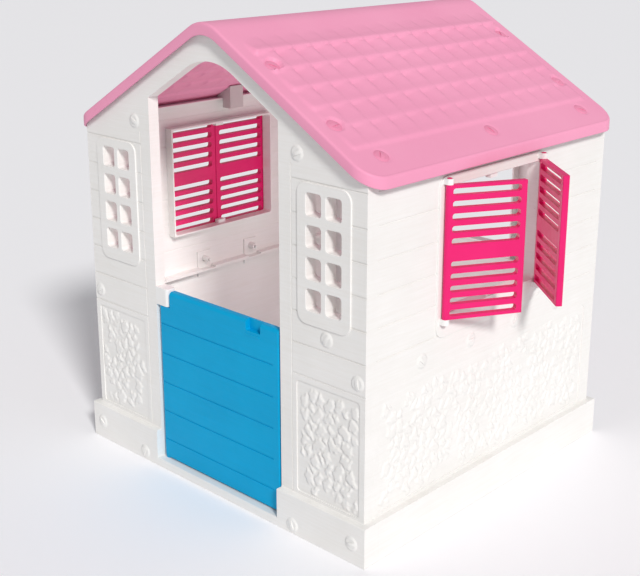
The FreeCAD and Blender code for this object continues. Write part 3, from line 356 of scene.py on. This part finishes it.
@dataclass
class StoneField:
    """A field of moulded pebbles that fills the recess at the foot of a wall."""

    name: str
    facing: Facing
    face: float
    along: tuple[float, float]
    rise: tuple[float, float]
    seed: int
    recess: float = 2.0 * MM
    proud: float = 1.1 * MM
    bedding: float = 0.4 * MM
    spacing: float = 24.0 * MM
    stretch: float = 1.2
    mortar: float = 0.13
    step: float = 2.0 * MM
    border: float = 9.0 * MM
    border_ease: float = 4.0 * MM
    film: float = 0.05 * MM
    spare: int = 2
    kept_share: float = 0.93
    waves: tuple[float, float] = (0.1, 0.06)
    waves_up: tuple[float, float] = (5.3, 11.7)
    waves_along: tuple[float, float] = (4.9, 12.3)
    shoulder: float = 0.26
    dome_fall: float = 0.22
    dome_start: float = 0.2
    sharp_angle: float = 60.0

    def heights(self, along: np.ndarray, up: np.ndarray) -> np.ndarray:
        """How far the surface stands above the bottom of the recess.

        The field is shared out among scattered stones, each point going to the stone whose distance
        less its size is least. A stone's height eases up from nothing, where that margin over the
        second-nearest stone is nil, to a gently domed top. Stones near the border are left out.

        Args:
            along: distance along the wall at each grid point.
            up: height at each grid point.

        Returns:
            The height above the recess at each grid point.
        """
        draw = np.random.default_rng(self.seed)
        cell_height = self.spacing * self.stretch
        wide = (self.along[1] - self.along[0]) / self.spacing
        high = (self.rise[1] - self.rise[0]) / cell_height
        columns, rows = int(wide) + 2 * self.spare + 1, int(high) + 2 * self.spare + 1
        jitter = draw.uniform(0.05, 0.95, (columns, rows, 2))
        bulk = draw.uniform(-0.16, 0.16, (columns, rows))
        lift = draw.uniform(0.72, 1.0, (columns, rows))
        chance = draw.uniform(0.0, 1.0, (columns, rows))
        bend = draw.uniform(0.0, 2.0 * math.pi, 4)
        straight_x = (along - self.along[0]) / self.spacing + self.spare
        straight_z = (up - self.rise[0]) / cell_height + self.spare
        across, height = straight_x, straight_z
        for depth, rate_x, rate_z, bend_x, bend_z in zip(self.waves, self.waves_up, self.waves_along,
                                                         bend[:2], bend[2:]):
            across = across + depth * np.sin(rate_x * straight_z + bend_x)
            height = height + depth * np.sin(rate_z * straight_x + bend_z)
        nearest = np.full(along.shape, np.inf)
        second = np.full(along.shape, np.inf)
        crest = np.zeros(along.shape)
        margin_x, margin_z = self.border / self.spacing, self.border / cell_height
        low_x, high_x = self.spare + margin_x, wide + self.spare - margin_x
        low_z, high_z = self.spare + margin_z, high + self.spare - margin_z
        shifts = range(-self.spare, self.spare + 1)
        for shift_x, shift_z in product(shifts, shifts):
            cell_x = np.clip(np.floor(across).astype(int) + shift_x, 0, columns - 1)
            cell_z = np.clip(np.floor(height).astype(int) + shift_z, 0, rows - 1)
            stone_x = cell_x + jitter[cell_x, cell_z, 0]
            stone_z = cell_z + jitter[cell_x, cell_z, 1]
            gap = np.hypot(across - stone_x, height - stone_z) - bulk[cell_x, cell_z]
            kept = ((chance[cell_x, cell_z] < self.kept_share)
                    & (stone_x > low_x) & (stone_x < high_x)
                    & (stone_z > low_z) & (stone_z < high_z))
            closer = gap < nearest
            second = np.where(closer, nearest, np.minimum(second, gap))
            crest = np.where(closer, lift[cell_x, cell_z] * kept, crest)
            nearest = np.where(closer, gap, nearest)
        edge = smooth_step((second - nearest - self.mortar) / self.shoulder)
        dome = 1.0 - self.dome_fall * np.clip(nearest + self.dome_start, 0.0, 1.0) ** 2
        relief = edge * dome * crest
        inset = np.minimum(np.minimum(along - self.along[0], self.along[1] - along),
                           np.minimum(up - self.rise[0], self.rise[1] - up))
        return (self.recess + self.proud) * relief * smooth_step(inset / self.border_ease)

    def build(self, palette: Palette) -> bpy.types.Object:
        """Make the field as a thin closed slab bedded in the recess.

        Args:
            palette: the finishes.

        Returns:
            The slab.
        """
        columns = int((self.along[1] - self.along[0]) / self.step) + 1
        rows = int((self.rise[1] - self.rise[0]) / self.step) + 1
        along, up = np.meshgrid(np.linspace(*self.along, columns), np.linspace(*self.rise, rows),
                                indexing="ij")
        along_axis, out_axis, sign = self.facing.value
        top = np.zeros((columns, rows, 3))
        top[..., along_axis] = along
        top[..., out_axis] = self.face + sign * (self.heights(along, up) + self.film - self.recess)
        top[..., 2] = up
        edge = np.concatenate([[(i, 0) for i in range(columns)],
                               [(columns - 1, j) for j in range(1, rows)],
                               [(i, rows - 1) for i in range(columns - 2, -1, -1)],
                               [(0, j) for j in range(rows - 2, 0, -1)]])
        rim = top[edge[:, 0], edge[:, 1]].copy()
        rim[:, out_axis] = self.face - sign * (self.recess + self.bedding)
        first = columns * rows
        ring = (edge[:, 0] * rows + edge[:, 1]).tolist()
        count = len(ring)
        faces = grid_faces(columns, rows)
        faces += [[ring[k], ring[(k + 1) % count], first + (k + 1) % count, first + k]
                  for k in range(count)]
        faces.append(list(range(first, first + count)))
        piece = new_piece(self.name, np.concatenate([top.reshape(-1, 3), rim]), faces,
                          self.sharp_angle)
        palette.dress(piece, Slot.WALL)
        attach(piece, HOUSE)
        return piece


@dataclass(frozen=True)
class TileShape:
    """The relief of a lapped tile: places as shares of the tile, heights as shares of the relief."""

    scoop: tuple[float, float] = (0.62, 0.8)
    lip_start: float = 0.5
    lip_length: float = 0.4
    drop_start: float = 0.88
    drop_width: float = 0.12
    wave_fade: float = 0.6
    foot_start: float = 0.93
    foot_length: float = 0.07
    first_ease: float = 0.9
    last_ease: float = 0.06
    side_ease: float = 0.2
    fade_power: float = 0.8
    plate_height: float = 0.46
    wave_height: float = 0.24
    lip_height: float = 0.3
    groove_depth: float = 0.1


@dataclass
class RoofHalf:
    """One half of the roof: a thin deck with lapped tiles on both faces and a rim on its free sides."""

    side: Side
    slope: float = 0.586
    skin: float = 4.5 * MM
    rim_drop: float = 26.0 * MM
    rim_round: float = 6.0 * MM
    ridge_radius: float = 82.0 * MM
    corner_radius: float = 50.0 * MM
    tiles_start: float = 70.0 * MM
    course: float = 52.0 * MM
    courses: int = 6
    tiles_inset: float = 30.0 * MM
    tiles: int = 15
    relief: tuple[float, float] = (12.0 * MM, 4.2 * MM)
    dimple_radius: float = 18.5 * MM
    dimple_depth: float = 1.5 * MM
    dimple_ease: float = 3.0 * MM
    step: float = 3.4 * MM
    corner_steps: int = 22
    rim_steps: int = 6
    rim_foot: float = 1.6 * MM
    lap: float = 0.2 * MM
    sharp_angle: float = 50.0
    tile: TileShape = TileShape()
    verge_screws: tuple[float, float] = (153.0 * MM, 318.0 * MM)
    verge_inset: float = 49.0 * MM
    eave_screw: float = 405.0 * MM
    eave_inset: float = 85.0 * MM

    def __post_init__(self) -> None:
        """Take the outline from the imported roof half."""
        low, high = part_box(f"roof_{self.side.name.lower()}")
        self.reach = max(abs(low.x), abs(high.x))
        self.front, self.back = low.y, high.y
        self.apex = low.z + self.rim_drop + self.slope * self.reach
        self.tilt = math.atan(self.slope)
        length = self.back - self.front
        verge = (self.verge_inset, length - self.verge_inset)
        eave = (self.eave_inset, length / 2.0, length - self.eave_inset)
        self.screws = [*product(self.verge_screws, verge), *product([self.eave_screw], eave)]

    def deck_height(self, x: np.ndarray) -> np.ndarray:
        """Height of the smooth deck: a circular arc over the ridge, then a straight slope.

        Args:
            x: distance from the ridge.

        Returns:
            The height at each distance.
        """
        centre = self.apex - self.ridge_radius / math.cos(self.tilt)
        arc = centre + np.sqrt(np.maximum(self.ridge_radius ** 2 - x ** 2, 0.0))
        return np.where(x < self.ridge_radius * math.sin(self.tilt), arc, self.apex - self.slope * x)

    def tile_height(self, x: np.ndarray, y: np.ndarray) -> np.ndarray:
        """Height of the tiles above the deck.

        Each tile is a plate with a scoop at its upper front corner, a lip along its foot and a face
        that climbs towards the next tile, where it drops. The whole fades down the slope.

        Args:
            x: distance from the ridge.
            y: place along the ridge.

        Returns:
            The tiles' height at each point.
        """
        down = (x - self.tiles_start) / self.course
        start, end = self.front + self.tiles_inset, self.back - self.tiles_inset
        across = (y - start) / (end - start) * self.tiles
        part, turn = down - np.floor(down), across - np.floor(across)
        tile = self.tile
        scoop = (1.0 - smooth_step(part / tile.scoop[0])) * (1.0 - smooth_step(turn / tile.scoop[1]))
        lip = smooth_step((part - tile.lip_start) / tile.lip_length)
        climb = 1.0 - smooth_step((turn - tile.drop_start) / tile.drop_width)
        wave = turn * climb * (1.0 - tile.wave_fade * part)
        foot = 1.0 - smooth_step((part - tile.foot_start) / tile.foot_length)
        fade = np.clip(down / self.courses, 0.0, 1.0) ** tile.fade_power
        size = self.relief[0] + (self.relief[1] - self.relief[0]) * fade
        inside = (smooth_step(down / tile.first_ease)
                  * smooth_step((self.courses - down) / tile.last_ease)
                  * smooth_step(across / tile.side_ease)
                  * smooth_step((self.tiles - across) / tile.side_ease))
        shape = (tile.plate_height * (1.0 - scoop) + tile.wave_height * wave
                 + tile.lip_height * lip * foot - tile.groove_depth * (1.0 - foot))
        return size * inside * shape

    def screw_mask(self, x: np.ndarray, y: np.ndarray) -> np.ndarray:
        """One inside the sink of a roof screw and nothing outside it, eased over its edge."""
        mask = np.zeros(x.shape)
        for screw_x, inset in self.screws:
            away = np.hypot((x - screw_x) / math.cos(self.tilt), y - self.front - inset)
            past = (away - self.dimple_radius) / self.dimple_ease + 0.5
            mask = np.maximum(mask, 1.0 - smooth_step(past))
        return mask

    def plan(self) -> tuple[np.ndarray, np.ndarray]:
        """The grid in plan: rows across the slope, shortened where the corners are round.

        Returns:
            X and Y of each grid point, inside the rounded edge.
        """
        reach, corner = self.reach - self.rim_round, self.corner_radius - self.rim_round
        straight = reach - corner
        turn = np.linspace(0.0, math.pi / 2.0, self.corner_steps)[1:]
        x = np.concatenate([np.linspace(0.0, straight, int(straight / self.step)),
                            straight + corner * np.sin(turn)])
        over = np.maximum(x - straight, 0.0)
        cut = corner - np.sqrt(np.maximum(corner ** 2 - over ** 2, 0.0))
        front, back = self.front + self.rim_round + cut, self.back - self.rim_round - cut
        share = np.linspace(0.0, 1.0, int((self.back - self.front) / self.step))
        y = front[:, None] + (back - front)[:, None] * share[None, :]
        return np.broadcast_to(x[:, None], y.shape).copy(), y

    def rim_section(self) -> np.ndarray:
        """The rim's section from the deck's edge: out and down, round the foot and up inside.

        Returns:
            Rows of distance out and distance down.
        """
        turn = np.linspace(0.0, math.pi / 2.0, self.rim_steps)[1:]
        crown = np.stack([self.rim_round * np.sin(turn), self.rim_round * (1.0 - np.cos(turn))], axis=1)
        foot = self.rim_foot
        lower = np.stack([self.rim_round - foot * (1.0 - np.cos(turn)),
                          self.rim_drop - foot * (1.0 - np.sin(turn))], axis=1)
        inner = self.rim_round - self.skin + self.lap
        inside = np.array([[inner, self.rim_drop], [inner, self.skin * 2.0]])
        flank = np.array([[self.rim_round, self.rim_drop - foot]])
        return np.concatenate([crown, flank, lower, inside])

    def build(self, palette: Palette) -> bpy.types.Object:
        """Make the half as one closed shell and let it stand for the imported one.

        Args:
            palette: the finishes.

        Returns:
            The shell.
        """
        x, y = self.plan()
        rows, columns = x.shape
        deck = self.deck_height(x)
        sunk = self.screw_mask(x, y)
        tiles = self.tile_height(x, y) * (1.0 - sunk)
        lean, rise = math.sin(self.tilt), math.cos(self.tilt)
        upper = tiles - self.dimple_depth * sunk
        top = np.stack([x + lean * upper, y, deck + rise * upper], axis=-1)
        under = np.stack([x + lean * tiles, y, deck + rise * tiles - self.skin / rise], axis=-1)
        top[0, :, 0] = under[0, :, 0] = 0.0
        edge = np.concatenate([[(i, 0) for i in range(rows)],
                               [(rows - 1, j) for j in range(1, columns)],
                               [(i, columns - 1) for i in range(rows - 2, -1, -1)]])
        loop = top[edge[:, 0], edge[:, 1]]
        ring = (edge[:, 0] * columns + edge[:, 1]).tolist()
        corner = self.corner_radius - self.rim_round
        straight = self.reach - self.rim_round - corner
        over = np.maximum(loop[:, 0] - straight, 0.0) / corner
        out_x = np.clip(over, 0.0, 1.0)
        out_y = np.sqrt(1.0 - out_x ** 2) * np.where(loop[:, 1] < (self.front + self.back) / 2.0, -1.0, 1.0)
        section = self.rim_section()
        rim = (loop[None, :, :] + section[:, 0, None, None]
               * np.stack([out_x, out_y, np.zeros_like(out_x)], axis=1)[None])
        rim[..., 2] -= section[:, 1, None]
        size, count, layers = rows * columns, len(ring), len(section)
        points = np.concatenate([top.reshape(-1, 3), under.reshape(-1, 3), rim.reshape(-1, 3)])
        points[:, 0] *= self.side.value
        faces = grid_faces(rows, columns) + grid_faces(rows, columns, size)
        bands = [ring] + [[2 * size + p * count + k for k in range(count)] for p in range(layers)]
        bands.append([size + k for k in ring])
        for outer, inner in pairwise(bands):
            faces += [[outer[k], outer[k + 1], inner[k + 1], inner[k]] for k in range(count - 1)]
        for end in (0, -1):
            faces.append([band[end] for band in bands])
        faces += [[j, j + 1, size + j + 1, size + j] for j in range(columns - 1)]
        name = f"tiled_roof_{self.side.name.lower()}"
        piece = new_piece(name, points, faces, self.sharp_angle)
        palette.dress(piece, Slot.ROOF)
        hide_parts(f"roof_{self.side.name.lower()}")
        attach(piece, HOUSE)
        return piece


@dataclass
class SoftenedPiece:
    """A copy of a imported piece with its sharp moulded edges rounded."""

    node: str
    slot: Slot
    radius: float = 0.7 * MM
    steps: int = 2
    merge: float = 0.002 * MM
    flat_angle: float = 0.4
    round_angle: float = 40.0
    sharp_angle: float = 62.0

    def build(self, palette: Palette) -> bpy.types.Object:
        """Merge a copy of the node's triangles, round its edges and let it stand for the node.

        Args:
            palette: the finishes.

        Returns:
            The softened piece.
        """
        source = frame["nodes"][self.node]
        mesh = source.data.copy()
        shell = bmesh.new()
        shell.from_mesh(mesh)
        bmesh.ops.remove_doubles(shell, verts=shell.verts, dist=self.merge)
        bmesh.ops.dissolve_limit(shell, angle_limit=math.radians(self.flat_angle), verts=shell.verts,
                                 edges=shell.edges)
        shell.to_mesh(mesh)
        shell.free()
        mesh.polygons.foreach_set("use_smooth", np.ones(len(mesh.polygons), bool))
        mesh.set_sharp_from_angle(angle=math.radians(self.sharp_angle))
        piece = bpy.data.objects.new(f"moulded_{self.node}", mesh)
        bpy.context.scene.collection.objects.link(piece)
        bevel = piece.modifiers.new("rounded_edges", "BEVEL")
        bevel.width = self.radius
        bevel.segments = self.steps
        bevel.limit_method = "ANGLE"
        bevel.angle_limit = math.radians(self.round_angle)
        even = piece.modifiers.new("flat_faces_even", "WEIGHTED_NORMAL")
        even.keep_sharp = True
        palette.dress(piece, self.slot)
        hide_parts(self.node)
        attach(piece, source["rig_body"])
        return piece


@dataclass
class Walls:
    """The softened wall panels, and the stone fields at the foot of each wall."""

    panels: tuple[str, ...] = ("front_panel_left", "front_panel_right", "back_panel_left",
                               "back_panel_right", "side_lower_left", "side_lower_right",
                               "side_upper_left", "side_upper_right", "door_sill", "back_infill")
    band_end: float = 232.0 * MM
    margin: float = 14.0 * MM
    inset: float = 3.0 * MM
    plinth: float = 88.0 * MM
    plinth_margin: float = 8.0 * MM
    plinth_proud: float = 15.0 * MM
    stones_top: float = 359.0 * MM
    panel_depth: float = 27.0 * MM

    def build(self, palette: Palette) -> list[bpy.types.Object]:
        """Make the softened panels and the six stone fields.

        Args:
            palette: the finishes.

        Returns:
            The pieces.
        """
        pieces = [SoftenedPiece(node, Slot.WALL).build(palette) for node in self.panels]
        low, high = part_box("side_upper_right")
        depth = high.y + low.y
        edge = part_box("front_panel_right")[1].x - self.plinth_proud
        rise = (self.plinth + self.plinth_margin + self.inset, self.stones_top - self.margin - self.inset)
        start, end = self.band_end + self.margin + self.inset, edge - self.margin - self.inset
        side_run = (self.panel_depth + self.margin + self.inset,
                    depth - self.panel_depth - self.margin - self.inset)
        fields = [
            StoneField("stones_front_right", Facing.FRONT, 0.0, (start, end), rise, 11),
            StoneField("stones_front_left", Facing.FRONT, 0.0, (-end, -start), rise, 12),
            StoneField("stones_back_right", Facing.BACK, depth, (start, end), rise, 13),
            StoneField("stones_back_left", Facing.BACK, depth, (-end, -start), rise, 14),
            StoneField("stones_side_right", Facing.RIGHT, edge, side_run, rise, 15),
            StoneField("stones_side_left", Facing.LEFT, -edge, side_run, rise, 16),
        ]
        return pieces + [stones.build(palette) for stones in fields]


@dataclass
class Fittings:
    """The door and shutters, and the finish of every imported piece."""

    radius: float = 1.2 * MM

    def build(self, palette: Palette) -> list[bpy.types.Object]:
        """Soften the door and shutters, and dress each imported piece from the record's slots.

        Args:
            palette: the finishes.

        Returns:
            The new pieces.
        """
        leaves = [f"shutter_{side}_{row}" for side in ("left", "right") for row in ("front", "rear")]
        pieces = [SoftenedPiece(leaf, Slot.SHUTTER, self.radius).build(palette) for leaf in leaves]
        pieces.append(SoftenedPiece("half_door", Slot.DOOR, self.radius).build(palette))
        for part in frame["record"]["subparts"]:
            palette.dress(frame["nodes"][part["node"]], Slot(part["material_slot"]))
        return pieces


@dataclass
class Studio:
    """The floor, the light and the camera."""

    camera_place: tuple[float, float, float] = (1.7596, -1.5259, 1.2662)
    camera_turn: tuple[float, float] = (73.88, 43.49)
    lens: float = 64.35
    sensor: float = 36.0
    shift: float = -0.0797
    floor_size: float = 40.0
    floor_drop: float = 0.5 * MM
    floor_colour: tuple[float, float, float] = (0.975, 0.97, 1.0)
    floor_roughness: float = 0.9
    sun: float = 2.35
    sun_place: tuple[float, float, float] = (3.5, -1.35, 3.2)
    sun_spread: float = 10.0
    sun_colour: tuple[float, float, float] = (1.0, 0.99, 0.97)
    inner: float = 2.9
    inner_place: tuple[float, float, float] = (0.0, 0.45, 0.5)
    inner_size: float = 0.2
    inner_colour: tuple[float, float, float] = (1.0, 0.97, 0.94)
    sky: float = 0.4
    sky_colour: tuple[float, float, float] = (0.98, 0.985, 1.0)

    def build(self) -> None:
        """Set up the floor, the lamps, the sky and the camera."""
        bpy.ops.mesh.primitive_plane_add(size=self.floor_size, location=(0.0, 0.0, -self.floor_drop))
        floor = bpy.context.object
        floor.name = "floor"
        graph = Graph("pale_floor")
        graph.shader.inputs["Base Color"].default_value = (*self.floor_colour, 1.0)
        graph.shader.inputs["Roughness"].default_value = self.floor_roughness
        floor.data.materials.append(graph.material)
        key = self.lamp("key", "SUN", self.sun_place, self.sun, self.sun_colour)
        key.angle = math.radians(self.sun_spread)
        inner = self.lamp("inner", "POINT", self.inner_place, self.inner, self.inner_colour)
        inner.shadow_soft_size = self.inner_size
        world = bpy.data.worlds.new("studio")
        world.use_nodes = True
        sky = world.node_tree.nodes["Background"]
        sky.inputs["Color"].default_value = (*self.sky_colour, 1.0)
        sky.inputs["Strength"].default_value = self.sky
        bpy.context.scene.world = world
        bpy.context.scene.view_settings.view_transform = "Standard"
        data = bpy.data.cameras.new("camera")
        data.lens, data.sensor_width, data.shift_y = self.lens, self.sensor, self.shift
        camera = bpy.data.objects.new("camera", data)
        camera.location = self.camera_place
        camera.rotation_euler = (math.radians(self.camera_turn[0]), 0.0, math.radians(self.camera_turn[1]))
        bpy.context.scene.collection.objects.link(camera)
        bpy.context.scene.camera = camera

    def lamp(self, name: str, kind: str, place: tuple[float, float, float], power: float,
             colour: tuple[float, float, float]) -> bpy.types.Light:
        """Add a lamp that looks at the middle of the house.

        Args:
            name: the lamp's name.
            kind: the type of light.
            place: where it stands.
            power: its strength.
            colour: its colour.

        Returns:
            The light's data.
        """
        data = bpy.data.lights.new(name, kind)
        data.energy, data.color = power, colour
        lamp = bpy.data.objects.new(name, data)
        lamp.location = place
        lamp.visible_camera = False
        aim = (Vector(CAD_LOW) + Vector(CAD_HIGH)) / 2.0 - Vector(place)
        lamp.rotation_euler = aim.to_track_quat("-Z", "Y").to_euler()
        bpy.context.scene.collection.objects.link(lamp)
        return data


def main() -> None:
    """Build the studio and every dressed piece."""
    logging.basicConfig(level=logging.INFO, format="%(name)s: %(message)s")
    Studio().build()
    palette = Palette()
    palette.build()
    pieces = Fittings().build(palette) + Walls().build(palette)
    pieces += [RoofHalf(side).build(palette) for side in Side]
    for piece in pieces:
        LOG.info("%s: %d faces", piece.name, len(piece.data.polygons))


if __name__ == "__main__":
    main()
